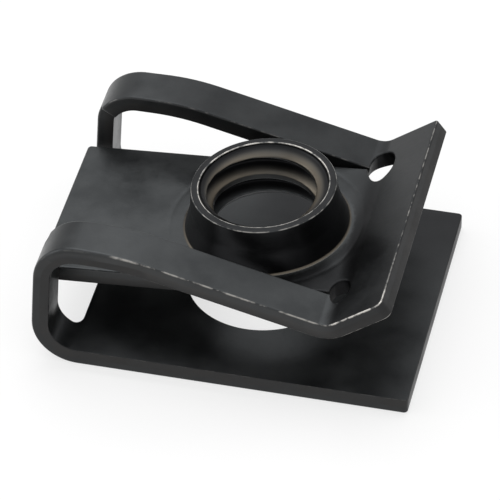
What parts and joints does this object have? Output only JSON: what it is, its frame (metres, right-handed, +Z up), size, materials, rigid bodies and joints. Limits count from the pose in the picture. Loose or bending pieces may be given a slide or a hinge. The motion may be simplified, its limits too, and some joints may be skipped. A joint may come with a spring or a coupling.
{
  "type": "u clip nut",
  "caption": "Folded spring-steel clip nut: a flat plate, looped arms with a flared lip, and a sprung tongue with a threaded collar.",
  "frame": {"origin": "on the plate's underside, at the centre of its clearance hole", "axes": "+X from the loops towards the open mouth and lip, +Y across the strip, +Z up from the plate towards the collar's rim"},
  "size_m": [0.0189, 0.0142, 0.0073],
  "materials": {
    "spring_steel": "dark phosphate and oil on spring steel, satin, with worn bright edges"
  },
  "bodies": {
    "root": {"u_clip_nut": "spring_steel"}
  },
  "joints": []
}
